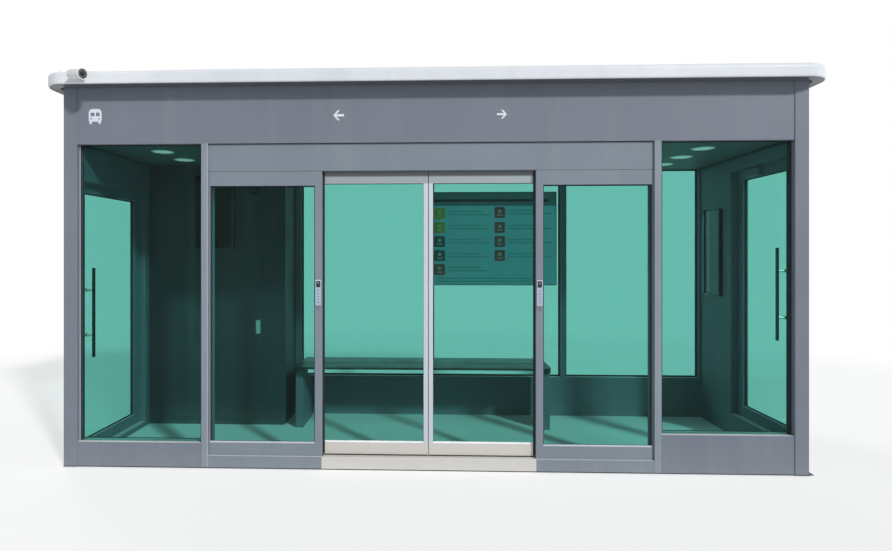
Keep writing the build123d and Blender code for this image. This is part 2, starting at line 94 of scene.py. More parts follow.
def tubeFaces(rings, count):
    # quads between rings of points, and one flat face over either end
    ends = np.array([np.arange(count)[::-1], np.arange(count) + (rings - 1) * count])
    return [gridFaces(rings, count, closedColumns=True), ends]


def joined(shapes):
    # several shapes as one: each one's faces count on from the points before them
    points, faces, count = [], [], 0
    for some, theirs in shapes:
        points.append(np.asarray(some, float))
        faces += [f + count for f in theirs]
        count += len(some)
    return np.vstack(points), faces


def copied(shape, places):
    # the same shape at many places: each place is added to every point
    points, faces = shape
    places = np.asarray(places, float).reshape(-1, 1, 3)
    steps = np.arange(len(places)).reshape(-1, 1, 1) * len(points)
    return (places + points).reshape(-1, 3), [(f + steps).reshape(-1, f.shape[1]) for f in faces]


def turned(shape, u, v, n, place=(0, 0, 0)):
    # a shape drawn in x, y and z set along the directions u, v and n, from a place
    points, faces = shape
    return points @ np.array([u, v, n], float) + np.asarray(place, float), faces


# The directions of a flat piece on each side of the shelter: across it, up it and out of it.
sideways = dict(
    front=((1, 0, 0), (0, 0, 1), (0, -1, 0)),
    back=((-1, 0, 0), (0, 0, 1), (0, 1, 0)),
    right=((0, 1, 0), (0, 0, 1), (1, 0, 0)),
    left=((0, -1, 0), (0, 0, 1), (-1, 0, 0)),
    top=((1, 0, 0), (0, 1, 0), (0, 0, 1)),
    under=((1, 0, 0), (0, -1, 0), (0, 0, -1)),
)


def plateShape(width, height, thickness, radius, bevel, arcSteps=5):
    # a rounded rectangle: its outline is a quarter circle at each corner, carried through its thickness
    # by a profile that draws in by the bevel at both ends
    radius = min(radius, width / 2 - smallest, height / 2 - smallest)
    bevel = min(bevel, radius * bevelShares[0], thickness * bevelShares[1])
    quarter = np.arange(4).reshape(-1, 1) * math.pi / 2
    turn = (quarter + np.linspace(0, math.pi / 2, arcSteps)).reshape(-1)
    sideX = np.repeat([1, -1, -1, 1], arcSteps) * (width / 2 - radius)
    sideY = np.repeat([1, 1, -1, -1], arcSteps) * (height / 2 - radius)
    inset = np.array([bevel, 0, 0, bevel]).reshape(-1, 1)
    level = np.array([0, bevel, thickness - bevel, thickness]).reshape(-1, 1)
    x = sideX + (radius - inset) * np.cos(turn)
    y = sideY + (radius - inset) * np.sin(turn)
    return np.stack([x, y, np.broadcast_to(level, x.shape)], -1).reshape(-1, 3), tubeFaces(4, turn.size)


def plateOn(side, low, high, thickness, face, radius=0.002, bevel=0.0008):
    # a plate on one side of the shelter between two corners, each across and up, at the depth of its face
    low, high = np.array(low, float), np.array(high, float)
    middle = (low + high) / 2
    u, v, n = np.array(sideways[side], float)
    place = middle[0] * np.abs(u) + middle[1] * np.abs(v) + face * np.abs(n)
    return turned(plateShape(*np.abs(high - low), thickness, radius, bevel), u, v, n, place)


def plateAt(side, middle, width, ends, *rest):
    # a plate that reaches half its width to each side of its middle, between two heights
    return plateOn(side, (middle - width / 2, ends[0]), (middle + width / 2, ends[1]), *rest)


def outlineShape(outline, thickness):
    # a flat outline carried straight through a thickness and closed at both ends
    levels = np.repeat([0.0, thickness], len(outline)).reshape(-1, 1)
    return np.hstack([np.vstack([outline, outline]), levels]), tubeFaces(2, len(outline))


def lathedShape(profile, segments=32):
    # a profile of radius and height turned round z, with a flat face at an end that isn't on the axis
    profile = np.array(profile, float)
    angle = np.arange(segments) * 2 * math.pi / segments
    radius = np.maximum(profile[:, 0], smallest).reshape(-1, 1)
    x, y = radius * np.cos(angle), radius * np.sin(angle)
    z = np.broadcast_to(profile[:, 1].reshape(-1, 1), x.shape)
    return np.stack([x, y, z], -1).reshape(-1, 3), tubeFaces(len(profile), segments)


def ringShape(plane, low, high, depth, profile, shares=(1, 1, 1, 1)):
    # a profile of inset and depth carried round a rectangle, so its corners meet in a mitre: the shares
    # multiply the inset at the left, the bottom, the right and the top
    inset, out = np.array(profile, float).T.reshape(2, -1, 1)
    left, bottom, right, top = (inset * share for share in shares)
    first = np.hstack([low[0] + left, high[0] - right, high[0] - right, low[0] + left])
    second = np.hstack([low[1] + bottom, low[1] + bottom, high[1] - top, high[1] - top])
    third = np.broadcast_to(depth + out, first.shape)
    order = {"xz": (first, third, second), "yz": (third, first, second)}
    points = np.stack(order[plane], -1).reshape(-1, 3)
    return points, [gridFaces(len(profile), 4, closedRows=True, closedColumns=True)]


def slabShape(low, high, bevel=0.0005):
    # a straight bar that fills a box: its section has cut corners and runs along the box's longest side
    low, high = np.minimum(low, high), np.maximum(low, high)
    along = int(np.argmax(high - low))
    axes = [(1, 2), (2, 0), (0, 1)][along]
    w, h = ((high - low)[axis] / 2 for axis in axes)
    b = min(bevel, w / 2, h / 2)
    lower = [(-w + b, -h), (w - b, -h), (w, -h + b)]
    upper = [(w, h - b), (w - b, h), (-w + b, h), (-w, h - b), (-w, -h + b)]
    section = np.array(lower + upper) @ np.eye(3)[list(axes)]
    start, end = (low + high) / 2, (low + high) / 2
    start[along], end[along] = low[along], high[along]
    return np.vstack([start + section, end + section]), tubeFaces(2, len(section))


# A screw's domed head with a round drive hole, in shares of its radius and its height.
screwLook = Look(
    profile=((1, 0), (1, 0.3), (0.84, 0.8), (0.55, 1), (0.4, 1), (0.34, 0.35), (0, 0.3)), height=0.45,
)


def screwsOn(side, radius, places):
    # the head's profile turned round an axis out of one side, at many places
    tall = radius * screwLook.height
    head = lathedShape([(radius * r, tall * h) for r, h in screwLook.profile], segments=12)
    return copied(turned(head, *sideways[side]), places)


def placed(name, data):
    thing = bpy.data.objects.new(name, data)
    bpy.context.scene.collection.objects.link(thing)
    return thing


def makePiece(name, shapes, finish, body="shelter", smooth=True):
    # the shapes as one mesh, with its faces turned outwards
    points, faces = joined(shapes)
    mesh = bpy.data.meshes.new(name)
    mesh.from_pydata(points.tolist(), [], [face for group in faces for face in group.tolist()])
    work = bmesh.new()
    work.from_mesh(mesh)
    bmesh.ops.recalc_face_normals(work, faces=work.faces)
    work.to_mesh(mesh)
    work.free()
    if smooth:
        mesh.shade_smooth()
        mesh.set_sharp_from_angle(angle=math.radians(sharpAngle))
    mesh.materials.append(finishes[finish])
    piece = placed(name, mesh)
    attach(piece, body)
    return piece


# Materials. Every pattern reads Object coordinates, which are metres in the shelter's own frame.
def colourOf(red, green, blue):
    # a screen colour of 0 to 255 as the linear values that a shader reads, by the sRGB curve
    share = np.array([red, green, blue]) / 255
    linear = np.where(share < 0.04045, share / 12.92, ((share + 0.055) / 1.055) ** 2.4)
    return (*linear.tolist(), 1.0)


def addNode(tree, kind, inputs=None, **attributes):
    # an input is a value, a socket, or a node whose first output counts
    node = tree.nodes.new("ShaderNode" + kind)
    for key, value in attributes.items():
        setattr(node, key, value)
    for key, value in (inputs or {}).items():
        if isinstance(value, bpy.types.Node):
            value = value.outputs[0]
        if isinstance(value, bpy.types.NodeSocket):
            tree.links.new(value, node.inputs[key])
        else:
            node.inputs[key].default_value = value
    return node


def newTree(name):
    material = bpy.data.materials.new(name)
    material.use_nodes = True
    material.node_tree.nodes.clear()
    return material, material.node_tree


def closed(material, surface):
    addNode(material.node_tree, "OutputMaterial", {"Surface": surface})
    return material


def noiseOf(tree, scale, detail, stretch=(1, 1, 1)):
    # spots of about 1 / scale metres, drawn out along an axis whose stretch is under 1
    place = addNode(tree, "TexCoord").outputs["Object"]
    coords = addNode(tree, "Mapping", {"Vector": place, "Scale": stretch})
    return addNode(tree, "TexNoise", {"Vector": coords, "Scale": scale, "Detail": detail, "Roughness": 0.6})


def rangeOf(tree, value, fromLow, fromHigh, low=0, high=1):
    inputs = {"Value": value, "From Min": fromLow, "From Max": fromHigh, "To Min": low, "To Max": high}
    return addNode(tree, "MapRange", inputs)


def driftOf(tree, scale, detail, edges=(0.3, 0.7), ends=(0, 1), stretch=(1, 1, 1)):
    # noise whose values between the edges are spread from the first end to the last
    return rangeOf(tree, noiseOf(tree, scale, detail, stretch), *edges, *ends)


def mathOf(tree, operation, first, second=0.0):
    return addNode(tree, "Math", {0: first, 1: second}, operation=operation)


def timesOf(tree, first, *others):
    for other in others:
        first = mathOf(tree, "MULTIPLY", first, other)
    return first


def distanceOf(tree, value, middle):
    return mathOf(tree, "ABSOLUTE", mathOf(tree, "SUBTRACT", value, middle))


def mixOf(tree, share, first, second):
    return addNode(tree, "Mix", {0: share, 6: first, 7: second}, data_type="RGBA").outputs[2]


def layered(tree, colour, layers):
    # other colours laid over a first one in turn, each by its own share
    tone = colourOf(*colour)
    for share, other in layers:
        tone = mixOf(tree, share, tone, colourOf(*other))
    return tone


def placeOf(tree):
    # x, y and z of the point that is shaded, in metres
    return addNode(tree, "SeparateXYZ", {0: addNode(tree, "TexCoord").outputs["Object"]}).outputs


def upwardOf(tree):
    # 1 on a face that looks straight up, 0 on one that stands and -1 on one that looks down
    return addNode(tree, "SeparateXYZ", {0: addNode(tree, "NewGeometry").outputs["Normal"]}).outputs["Z"]


def seenOf(tree):
    # 1 for a ray that ends in the picture, straight, by a mirror or through glass, and 0 for light
    rays = addNode(tree, "LightPath").outputs
    seen = mathOf(tree, "ADD", rays["Is Camera Ray"], rays["Is Glossy Ray"])
    return mathOf(tree, "MINIMUM", mathOf(tree, "ADD", seen, rays["Is Transmission Ray"]), 1.0)


def shaded(tree, material, colour, roughness, bump, bumpHeight, gloss=0.5, metal=0.0):
    normal = addNode(tree, "Bump", {"Height": bump, "Strength": 1.0, "Distance": bumpHeight})
    inputs = {"Base Color": colour, "Roughness": roughness, "Normal": normal, "Metallic": metal}
    inputs["Specular IOR Level"] = gloss
    return closed(material, addNode(tree, "BsdfPrincipled", inputs))


# A pattern is its scale, its detail, the edges of its noise, what they turn into, and its stretch.
framePaint = Look(
    # the pale colour for faces that look up is dust and a painted highlight of lit tops
    colour=(114, 120, 131), worn=(109, 116, 127), dust=(150, 152, 152), ledge=(206, 208, 208),
    clouds=(1.6, 5, (0.35, 0.65)), streaks=(9, 5, (0.52, 0.78), (0, 0.14), (1, 1, 0.05)),
    dustHeight=0.34, dustPower=2.2, dustShare=0.44, dustGrain=(24, 6, (1, 1, 0.3)),
    facing=(0.7, 0.95), ledgeShare=2.2, ledgeGrain=(30, 6), dull=(5, 6, (0.3, 0.7), (0.46, 0.56)),
    peel=(620, 2), peelHeight=0.00008, gloss=0.25,
)
framePaints = {
    "greyCoat": {},
    "unitCoat": {"colour": (122, 131, 141), "worn": (117, 126, 136)},
    # the mullions take the grey coat made lighter: painted sheen of the sky
    "mullionSheenCoat": {"colour": (131, 140, 149), "worn": (125, 134, 144)},
    # the cabinet takes the grey coat made darker: painted shade inside the shelter
    "cabinetShadeCoat": {"colour": (62, 67, 74), "worn": (54, 59, 66)},
}


def powderCoat(name, look):
    # a grey powder coat: soft clouds of tone, faint rain streaks, dust near the ground, a paler colour on
    # every face that looks up that is dust and a painted highlight, and orange peel
    material, tree = newTree(name)
    low = rangeOf(tree, placeOf(tree)["Z"], 0, look.dustHeight, 1, 0)
    low = mathOf(tree, "POWER", low, look.dustPower)
    # painted highlight with dust: faces that look up turn paler
    ledge = rangeOf(tree, upwardOf(tree), *look.facing)
    ledge = timesOf(tree, ledge, noiseOf(tree, *look.ledgeGrain), look.ledgeShare)
    tone = layered(tree, look.colour, [
        (driftOf(tree, *look.clouds), look.worn),
        (driftOf(tree, *look.streaks), look.dust),
        (timesOf(tree, low, noiseOf(tree, *look.dustGrain), look.dustShare), look.dust),
        (mathOf(tree, "MINIMUM", ledge, 1.0), look.ledge),
    ])
    dull, peel = driftOf(tree, *look.dull), noiseOf(tree, *look.peel)
    return shaded(tree, material, tone, dull, peel, look.peelHeight, look.gloss)


roofPaint = Look(
    # the underside colour and the groove colour are painted shade on the roof's pale paint
    colour=(219, 222, 226), shade=(204, 208, 213), under=(90, 93, 97), groove=(104, 108, 112),
    dust=(186, 182, 172), seam=(120, 120, 116), clouds=(1.1, 6, (0.35, 0.65)),
    streaks=(11, 5, (0.5, 0.8), (0, 0.18), (1, 1, 0.04)), patches=(2.7, 8, (0.4, 0.7), (0.1, 0.75)),
    up=(0.7, 0.98), down=(-0.75, -0.95), seamStep=1.41, seamWidth=0.004, lip=0.095,
    lipFade=0.002, soffit=(0.018, 0.02), deep=(0.016, 0.017), gloss=0.2,
    dull=(7, 6, (0.3, 0.7), (0.3, 0.48)), grain=(500, 2), grainHeight=0.00006,
)


def roofCoat(name, look, low, high):
    # the roof's pale paint: dust and sheet joints on its top, a mid grey underside that is painted shade, and
    # a darker painted shade inside the groove, which is the part of the underside that lies in from the edge
    # by the lip
    material, tree = newTree(name)
    place, facing = placeOf(tree), upwardOf(tree)
    up = rangeOf(tree, facing, *look.up)
    step = mathOf(tree, "PINGPONG", place["X"], look.seamStep / 2)
    seam = rangeOf(tree, step, 0, look.seamWidth, 1, 0)
    soffit = rangeOf(tree, place["Z"], *(low[2] + height for height in look.soffit), 1, 0)
    groove = rangeOf(tree, place["Z"], *(low[2] + height for height in look.deep), 1, 0)
    for axis in (0, 1):
        reach = distanceOf(tree, place[axis], (low[axis] + high[axis]) / 2)
        half = (high[axis] - low[axis]) / 2 - look.lip
        groove = timesOf(tree, groove, rangeOf(tree, reach, half, half + look.lipFade, 1, 0))
    tone = layered(tree, look.colour, [
        (driftOf(tree, *look.clouds), look.shade),
        (driftOf(tree, *look.streaks), look.dust),
        (timesOf(tree, up, driftOf(tree, *look.patches)), look.dust),
        (timesOf(tree, up, seam), look.seam),
        # painted shade: the flat underside, then the groove, darker than the pale paint
        (timesOf(tree, rangeOf(tree, facing, *look.down), soffit), look.under),
        (groove, look.groove),
    ])
    dull, grain = driftOf(tree, *look.dull), noiseOf(tree, *look.grain)
    return shaded(tree, material, tone, dull, grain, look.grainHeight, look.gloss)


# A zone is a colour of painted light, the height of its edge, and its share below and above that edge.
steelLook = Look(
    light=(222, 219, 215), dark=(198, 196, 192), along="x", roughness=(0.26, 0.4), metal=0.85,
    grain=(900, 3), broad=(6, 5), stretches=(0.012, 0.2), edges=(0.3, 0.7), least=0.5,
    relief=0.00003, zones=(), fade=0.004,
)
steelLooks = {
    "steelX": {},
    "silverZ": {
        "light": (196, 202, 210), "dark": (180, 187, 196), "along": "z", "roughness": (0.4, 0.5),
        "metal": 0.35, "zones": (
            # painted reflection of the warm ground on the bottom rail, painted shade on the top rail, painted
            # shadow under the cover
            ((203, 197, 190), 0.19, 0.9, 0), ((149, 157, 163), 2.093, 0, 1), ((100, 104, 108), 2.143, 0, 1),
        ),
    },
    # the bench's front strip is near white: a painted highlight of its sunlit edge
    "benchEdgeHighlight": {"light": (254, 255, 255), "dark": (246, 248, 248), "metal": 0.1},
}


def brushedSteel(name, look):
    # brushed metal: fine noise drawn out along the grain changes the tone, the polish and the relief;
    # on the leaves a painted reflection of the warm ground tints the bottom rail, painted shade darkens the
    # top rail, and a deeper painted shadow lies under the cover
    material, tree = newTree(name)
    fine, wide = ([share if axis == look.along else 1 for axis in "xyz"] for share in look.stretches)
    grain, broad = noiseOf(tree, *look.grain, fine), noiseOf(tree, *look.broad, wide)
    edges, fade, height = look.edges, look.fade, placeOf(tree)["Z"]
    share = timesOf(tree, rangeOf(tree, grain, *edges), rangeOf(tree, broad, *edges, look.least, 1))
    layers = [(share, look.dark)]
    for colour, edge, below, above in look.zones:
        layers.append((rangeOf(tree, height, edge - fade, edge + fade, below, above), colour))
    tone, dull = layered(tree, look.light, layers), rangeOf(tree, grain, *edges, *look.roughness)
    return shaded(tree, material, tone, dull, grain, look.relief, metal=look.metal)


glassLook = Look(
    through=(0.60, 0.837, 0.80, 1), film=(196, 214, 208), headOn=0.004, rise=5.0, bend=0.5,
    smears=(1.9, 7, (0.5, 0.75), (0.003, 0.008), (1, 1, 0.35)),
)


def tintedGlass(name, look):
    # one face of a tinted pane: what passes is tinted, a part mirrors by the angle it is seen at,
    # and a thin film of dust, thicker in smears, takes a little light
    material, tree = newTree(name)
    passing = addNode(tree, "BsdfTransparent", {"Color": look.through})
    film = addNode(tree, "BsdfDiffuse", {"Color": colourOf(*look.film)})
    dusty = addNode(tree, "MixShader", {0: driftOf(tree, *look.smears), 1: passing, 2: film})
    facing = addNode(tree, "LayerWeight", {"Blend": look.bend}).outputs["Facing"]
    grazing = mathOf(tree, "POWER", facing, look.rise)
    mirror = mathOf(tree, "MULTIPLY_ADD", grazing, 1 - look.headOn)
    mirror.inputs[2].default_value = look.headOn
    shine = addNode(tree, "BsdfGlossy", {"Roughness": 0.0, "Color": (1, 1, 1, 1)})
    return closed(material, addNode(tree, "MixShader", {0: mirror, 1: dusty, 2: shine}))


# Plain finishes: two tones, the range of the roughness, the scale, then relief and gloss if unusual. The
# polish and the relief have a scale that is a multiple of the tone's.
plainFinishes = dict(
    rubber=((20, 22, 24), (32, 34, 36), (0.6, 0.8), 40),
    # the next three colours are painted highlights: pale strips that stand in for lit edges and tops
    brightHighlight=((246, 247, 248), (234, 236, 238), (0.35, 0.5), 40),
    paleHighlight=((196, 198, 206), (184, 187, 196), (0.35, 0.5), 40),
    edgeHighlight=((164, 164, 176), (154, 154, 166), (0.45, 0.6), 40),
    paleRubber=((186, 190, 194), (168, 173, 178), (0.55, 0.7), 40),
    blackCoat=((24, 24, 26), (36, 36, 38), (0.32, 0.5), 35),
    ceilingCoat=((112, 118, 121), (100, 106, 110), (0.5, 0.65), 3),
    lampRim=((205, 206, 204), (190, 192, 190), (0.3, 0.45), 20),
    benchDark=((50, 54, 58), (42, 46, 49), (0.3, 0.48), 14),
    benchLight=((86, 94, 100), (76, 84, 90), (0.3, 0.48), 14),
    # the board's pale cyan is painted light passing through it from behind
    boardBacklitSheet=((166, 244, 255), (156, 234, 248), (0.4, 0.55), 5),
    boardBand=((104, 144, 152), (94, 134, 142), (0.4, 0.55), 8),
    boardLine=((24, 40, 46), (32, 48, 54), (0.45, 0.6), 20),
    boardText=((134, 198, 202), (140, 204, 208), (0.45, 0.6), 60),
    signGreen=((196, 196, 70), (172, 180, 70), (0.4, 0.5), 30),
    signTeal=((50, 106, 108), (42, 92, 96), (0.4, 0.5), 30),
    signBrown=((182, 98, 92), (156, 88, 84), (0.4, 0.5), 30),
    signInk=((216, 226, 208), (200, 212, 196), (0.4, 0.5), 30),
    glossBlack=((14, 16, 19), (20, 22, 26), (0.08, 0.16), 9, 0.00001),
    screenGlass=((6, 8, 12), (9, 12, 16), (0.06, 0.12), 3, 0.00001, 0.12),
    wallGlass=((62, 72, 84), (70, 80, 92), (0.06, 0.12), 3, 0.00001),
    whiteShell=((216, 217, 218), (204, 205, 206), (0.28, 0.42), 22),
    plateCoat=((168, 180, 198), (156, 168, 188), (0.3, 0.42), 40),
    plateInk=((118, 128, 152), (108, 118, 142), (0.4, 0.5), 60),
    labelCoat=((120, 114, 132), (112, 106, 124), (0.4, 0.5), 60),
    whiteInk=((212, 216, 226), (200, 205, 216), (0.4, 0.5), 25),
)
mottleLook = Look(
    detail=6, edges=(0.35, 0.65), dullScale=0.6, dullDetail=5, bumpScale=20, bumpDetail=2,
    back=(150, 154, 156), backFade=0.001,
)


def mottled(name, colour, second, roughness, scale, bumpHeight=0.0001, gloss=0.5):
    # a plain finish whose tone and polish drift between two values; the board's back is another colour
    (material, tree), look = newTree(name), mottleLook
    layers = [(driftOf(tree, scale, look.detail, look.edges), second)]
    if name == "boardBacklitSheet":
        low, high = boxOf("timetable_board")
        depth = (low[1] + high[1]) / 2
        layers.append((rangeOf(tree, placeOf(tree)["Y"], depth, depth + look.backFade), look.back))
    dull = driftOf(tree, scale * look.dullScale, look.dullDetail, ends=roughness)
    tone, bump = layered(tree, colour, layers), noiseOf(tree, scale * look.bumpScale, look.bumpDetail)
    return shaded(tree, material, tone, dull, bump, bumpHeight, gloss)


lensLook = Look(
    colour=(236, 240, 232), strength=0.35, dull=0.5, spots=(60, 4, (0.3, 0.7), (0.85, 1.0)),
)


def lampGlow(name, look):
    # a frosted lens that glows, a little less towards its dusty spots
    material, tree = newTree(name)
    colour = colourOf(*look.colour)
    glow = mixOf(tree, driftOf(tree, *look.spots), (0, 0, 0, 1), colour)
    inputs = {"Base Color": colour, "Roughness": look.dull, "Emission Color": glow}
    inputs["Emission Strength"] = look.strength
    return closed(material, addNode(tree, "BsdfPrincipled", inputs))


finishes = {name: powderCoat(name, Look(framePaint, **paint)) for name, paint in framePaints.items()}
finishes["paleCoat"] = roofCoat("paleCoat", roofPaint, *boxOf("roof"))
finishes.update({name: brushedSteel(name, Look(steelLook, **look)) for name, look in steelLooks.items()})
finishes["paneGlass"] = tintedGlass("paneGlass", glassLook)
finishes.update({name: mottled(name, *row) for name, row in plainFinishes.items()})
finishes["lampLens"] = lampGlow("lampLens", lensLook)
print("materials made")

# The CAD nodes keep their shape: a pane takes the glass, these take the finish here, the rest the grey coat.
nodeFinish = dict(
    roof="paleCoat", ceiling="ceilingCoat", downlights="lampRim", threshold="steelX",
    sliding_door_left="silverZ", sliding_door_right="silverZ", timetable_board="boardBacklitSheet",
    front_mullions="mullionSheenCoat", left_sidelight_frame="unitCoat", right_sidelight_frame="unitCoat",
    door_cover="unitCoat", wall_display="blackCoat", cabinet_screen="blackCoat",
    cabinet="cabinetShadeCoat", dome_camera="glossBlack", bench_seat="benchDark",
    touch_plates="plateCoat", security_camera="whiteShell", end_door_left_handles="blackCoat",
    end_door_right_handles="blackCoat",
)
for nodeName, cadNode in cadNodes.items():
    finish = "paneGlass" if "glass" in nodeName else nodeFinish.get(nodeName, "greyCoat")
    cadNode.data.materials.clear()
    cadNode.data.materials.append(finishes[finish])

# Gaskets: a black rubber lip round each pane where its glass shows. The section is in shares of its width
# and its rise; the other shares are for the left, the bottom, the right and the top.
gasketLook = Look(
    rise=0.003, section=((0, 0), (0.12, 0.75), (0.35, 1), (0.65, 1), (0.88, 0.75), (1, 0)),
    bayWidth=0.016, bayShares=(1, 0.08, 1, 0.5), innerWidth=0.006, bayInset=0.016,
    sideWidth=0.008, sideShares=((1.5, 0.15, 1, 0.8), (1, 0.15, 1.5, 0.8)), rearWidth=0.010,
    rearInset=0.008, endWidth=0.008, leafWidth=0.003, leafShares=(0.7, 0.5, 0.7, 1),
)


def gasketShape(box, plane, way, width, shares=(1, 1, 1, 1), inset=0.0, top=None):
    # the section carried round the glass face that way points to, from a little inside the glass
    low, high = box
    first, depthAxis = (0, 1) if plane == "xz" else (1, 0)
    lip = [(width * share, way * (sunk + gasketLook.rise * out)) for share, out in gasketLook.section]
    start = (low[first] + inset, low[2] + inset)
    end = (high[first] - inset, high[2] - inset if top is None else top)
    depth = (high if way > 0 else low)[depthAxis] - way * sunk
    return ringShape(plane, start, end, depth, [(0, 0), *lip, (width, 0)], shares)


def makeGaskets(look):
    fasciaLow = boxOf("front_fascia")[0][2]
    bays, rears, inner = solidsOf("bay_glass"), solidsOf("rear_glass"), look.innerWidth
    shapes = [gasketShape(box, "xz", -1, look.bayWidth, look.bayShares, top=fasciaLow) for box in bays]
    shapes += [gasketShape(box, "xz", 1, inner, inset=look.bayInset) for box in bays]
    makePiece("bay_gaskets", shapes, "rubber")
    shapes, width = [], look.sideWidth
    for box, shares in zip(solidsOf("sidelight_glass"), look.sideShares):
        shapes += [gasketShape(box, "xz", -1, width, shares), gasketShape(box, "xz", 1, width)]
    makePiece("sidelight_gaskets", shapes, "rubber")
    shapes = [gasketShape(box, "xz", -1, look.rearWidth) for box in rears]
    shapes += [gasketShape(box, "xz", 1, inner, inset=look.rearInset) for box in rears]
    makePiece("rear_gaskets", shapes, "rubber")
    end, leaf = ("yz", look.endWidth, (1, 1, 1, 1)), ("xz", look.leafWidth, look.leafShares)
    pairs = [("end_window_gaskets", "end_window_glass", "shelter", end)]
    for word in words:
        leafBody, endBody = f"sliding_door_{word}", f"end_door_{word}"
        pairs.append((f"{word}_leaf_gaskets", f"{leafBody}_glass", leafBody, leaf))
        pairs.append((f"{word}_end_door_gaskets", f"{endBody}_glass", endBody, end))
    for name, node, body, (plane, width, shares) in pairs:
        shapes = [gasketShape(boxOf(node), plane, way, width, shares) for way in (-1, 1)]
        makePiece(name, shapes, "rubber", body)


makeGaskets(gasketLook)
print("gaskets made")

# Seals of the sliding leaves: a pale strip where they meet, a black one beside the sidelight and a brush
# below; a bright strip under the pane is a painted highlight of the rail's lit top. The strip's reach is
# counted from the middle of the doorway.
sealLook = Look(
    meetingGap=0.0006, meetingDepth=(0.012, 0.022), stripReach=(0.764, 0.800), stripRise=0.004,
    stripTop=2.175, bottomRail=0.083, footGap=0.005, brushHalf=0.002, brushReach=0.0065,
    bead=(0.012, 0.012, 0.002),
)


def beadShape(box, height, depth, bevel):
    # a slab along the foot of a pane, which stands out from its front face
    low, high = box
    corner = (high[0], low[1] + sunk, low[2] + height)
    return slabShape((low[0], low[1] - depth, low[2] - sunk), corner, bevel)


def makeSeals(look):
    # slabs along each leaf: side is -1 on the left and 1 on the right
    (front, back), (near, far) = look.meetingDepth, look.stripReach
    gap, top, half = look.footGap, look.stripTop, look.brushHalf
    for side, word in zip((-1, 1), words):
        body = f"sliding_door_{word}"
        low, high = boxOf(body)
        pane = boxOf(f"{body}_glass")
        foot = pane[0][2] - look.bottomRail
        inner = min(abs(low[0]), abs(high[0]))
        corner = (side * (inner + sunk), back, top)
        meeting = slabShape((side * look.meetingGap, front, foot + gap), corner)
        makePiece(f"{word}_meeting_seal", [meeting], "paleRubber", body)
        corner = (side * far, low[1] + sunk, top)
        strip = slabShape((side * near, low[1] - look.stripRise, foot + gap), corner)
        corner = (side * (inner + gap), -half, foot - look.brushReach)
        brush = slabShape(corner, (side * far, half, foot + sunk))
        makePiece(f"{word}_leaf_seals", [strip, brush], "rubber", body)
        # a near-white strip at the pane's foot: a painted highlight of the lit top of the bottom rail
        makePiece(f"{word}_leaf_foot_highlight", [beadShape(pane, *look.bead)], "brightHighlight", body)


makeSeals(sealLook)

# Pale strips of painted highlight: one under each sidelight pane for its lit sill, one on the right edge of
# the left mullion for its lit edge, and one beside the pane of the left bay for its lit reveal.
highlightLook = Look(
    bead=(0.009, 0.014, 0.002), edge=0.006, edgeDepth=0.004, rise=0.0006, foot=0.006,
    jamb=0.006, jambDepth=0.008,
)


def makePaintedHighlights(look):
    fasciaLow, rise = boxOf("front_fascia")[0][2], look.rise
    # painted highlights: pale strips for lit sill tops, a lit mullion edge and a lit reveal
    beads = [beadShape(box, *look.bead) for box in solidsOf("sidelight_glass")]
    makePiece("sidelight_foot_highlights", beads, "paleHighlight")
    low, high = solidsOf("front_mullions")[0]
    corner = (high[0] - look.edge, low[1] - rise, look.foot)
    edge = slabShape(corner, (high[0] + rise, low[1] + look.edgeDepth, fasciaLow))
    low, high = solidsOf("bay_glass")[0]
    corner = (low[0] - sunk, low[1] - look.jambDepth, low[2])
    jamb = slabShape(corner, (low[0] + look.jamb, low[1] + sunk, fasciaLow))
    makePiece("front_edge_highlights", [edge, jamb], "edgeHighlight")


makePaintedHighlights(highlightLook)

# Painted shadow lines as black slabs: one under the door cover, and one where each front part stands on the
# ground.
shadowLineLook = Look(seal=0.0025, proud=0.0004, depth=0.003, contactHeight=0.006, contactProud=0.0008)


def makeShadowLines(look):
    # each painted shadow line is a slab that stands a little proud of a face and reaches a little into it
    proud, depth, contact = look.proud, look.depth, look.contactProud
    low, high = boxOf("door_cover")
    corner = (high[0], low[1] + depth, low[2] + look.seal)
    shapes = [slabShape((low[0], low[1] - proud, low[2] - proud), corner)]
    names = [f"front_post_{word}" for word in words] + [f"{word}_sidelight_frame" for word in words]
    boxes = [boxOf(name) for name in [*names, "threshold"]]
    for low, high in boxes + solidsOf("front_mullions") + solidsOf("bay_sills"):
        # painted contact shadow at the foot of each front part
        corner = (high[0], low[1] + depth, look.contactHeight)
        shapes.append(slabShape((low[0], low[1] - contact, 0), corner))
    makePiece("front_shadow_lines", shapes, "rubber")


makeShadowLines(shadowLineLook)

# Threshold: fine ribs along the tread, with screws behind them.
treadLook = Look(
    ribs=9, half=0.0008, rise=0.0008, tread=(0.008, 0.046), margin=0.004, sink=0.0002,
    screw=0.0045, screws=7, screwMargin=0.05, screwStep=0.011,
)


def makeTread(look):
    # ribs at even steps over the depth of the tread, and screws at even steps over its length
    low, high = boxOf("threshold")
    foot, top, half, margin = high[2] - look.sink, high[2] + look.rise, look.half, look.margin
    rows = low[1] + np.linspace(*look.tread, look.ribs)
    ribs = [slabShape((low[0] + margin, y - half, foot), (high[0] - margin, y + half, top)) for y in rows]
    makePiece("threshold_ribs", ribs, "steelX")
    across = np.linspace(low[0] + look.screwMargin, high[0] - look.screwMargin, look.screws)
    places = [(x, rows[-1] + look.screwStep, foot) for x in across]
    makePiece("threshold_screws", [screwsOn("top", look.screw, places)], "steelX")


makeTread(treadLook)
print("leaf seals, joints and threshold made")

